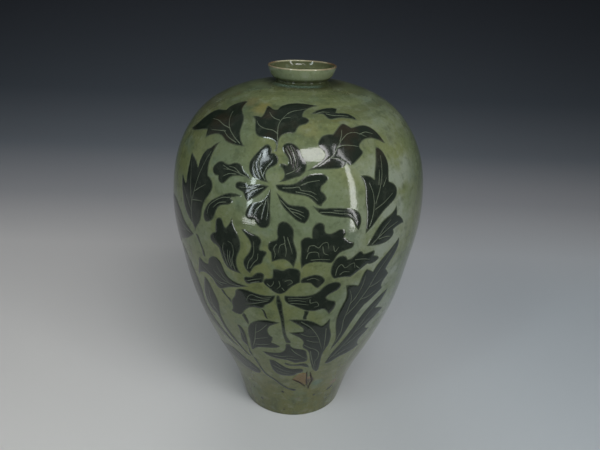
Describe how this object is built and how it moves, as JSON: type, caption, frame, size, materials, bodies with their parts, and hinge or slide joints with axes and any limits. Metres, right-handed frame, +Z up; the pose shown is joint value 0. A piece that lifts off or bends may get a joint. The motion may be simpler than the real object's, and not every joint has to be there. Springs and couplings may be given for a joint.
{
  "type": "meiping vase",
  "caption": "Tall shouldered vase with a small dish-shaped mouth, celadon glazed and painted with iron-black flower sprays; stands on its turned foot.",
  "frame": {"origin": "centre of the foot ring's standing face", "axes": "+Z up along the vase's axis; the pictured side faces -Y"},
  "size_m": [0.224, 0.2246, 0.33],
  "materials": {
    "celadon": "grey-green celadon glaze over stoneware, glossy, faint throwing lines",
    "iron_slip": "iron-black slip under thin glaze, satin, slightly raised",
    "kiln_grit": "burnt orange-brown grit, rough"
  },
  "bodies": {
    "root": {"lower_body": "celadon", "upper_body": "celadon", "neck_and_mouth": "celadon", "belly_luting": "celadon", "neck_luting": "celadon", "kiln_scar": "kiln_grit", "foot_leaf_broad_west": "iron_slip", "foot_leaf_curl_middle": "iron_slip", "foot_leaf_edge_west": "iron_slip", "foot_leaf_fingered": "iron_slip", "foot_leaf_low_east": "iron_slip", "foot_leaf_low_west": "iron_slip", "foot_leaf_lower_middle": "iron_slip", "foot_leaf_slender_west": "iron_slip", "foot_leaf_slim_west": "iron_slip", "foot_leaf_tall_east": "iron_slip", "foot_leaf_upper_middle": "iron_slip", "lower_blossom_heart": "iron_slip", "lower_petal_east": "iron_slip", "lower_petal_north": "iron_slip", "lower_petal_north_east": "iron_slip", "lower_petal_north_west": "iron_slip", "lower_petal_small_east": "iron_slip", "lower_petal_small_west": "iron_slip", "lower_petal_west": "iron_slip", "lower_wing_east": "iron_slip", "lower_wing_west": "iron_slip", "shoulder_leaf_crescent": "iron_slip", "shoulder_leaf_left": "iron_slip", "shoulder_leaf_middle": "iron_slip", "shoulder_leaf_right": "iron_slip", "side_leaf_curled_west": "iron_slip", "side_leaf_east": "iron_slip", "side_leaf_edge_west": "iron_slip", "side_leaf_far_east": "iron_slip", "side_leaf_far_west": "iron_slip", "side_leaf_jagged_east": "iron_slip", "side_leaf_west": "iron_slip", "stem_curled_leaf": "iron_slip", "stem_far_west": "iron_slip", "stem_foot": "iron_slip", "stem_middle": "iron_slip", "stem_wing_east": "iron_slip", "stem_wing_far_west": "iron_slip", "stem_wing_west": "iron_slip", "upper_petal_east": "iron_slip", "upper_petal_north_east": "iron_slip", "upper_petal_north_west": "iron_slip", "upper_petal_south": "iron_slip", "upper_petal_south_east": "iron_slip", "upper_petal_south_west": "iron_slip", "upper_petal_west": "iron_slip"}
  },
  "joints": []
}
